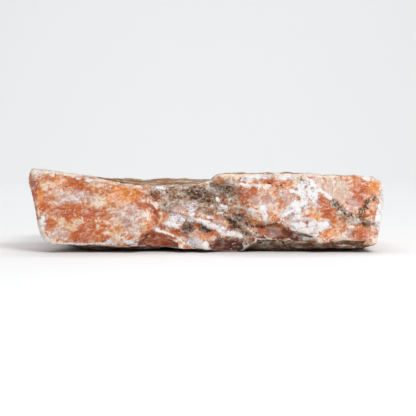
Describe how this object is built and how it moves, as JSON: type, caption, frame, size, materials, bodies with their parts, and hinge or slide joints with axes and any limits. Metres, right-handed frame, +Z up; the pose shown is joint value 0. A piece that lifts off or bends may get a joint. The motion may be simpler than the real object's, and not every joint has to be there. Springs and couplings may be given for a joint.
{
  "type": "alabaster stone",
  "caption": "Raw slab of orange alabaster broken out of its bed, with a worn flat underside, a crusted top and split sides; lies flat as stone stock, garden or shelf decoration.",
  "frame": {"origin": "on the surface that the slab lies on, under the middle of its box", "axes": "+X along the slab's length, -Y out of the large broken face with the round boss at its left, +Z up through the crusted bedding top"},
  "size_m": [0.4324, 0.2648, 0.102],
  "materials": {
    "alabaster": "broken stone, dull with a waxy sheen"
  },
  "bodies": {
    "root": {"alabaster_slab": "alabaster"}
  },
  "joints": []
}
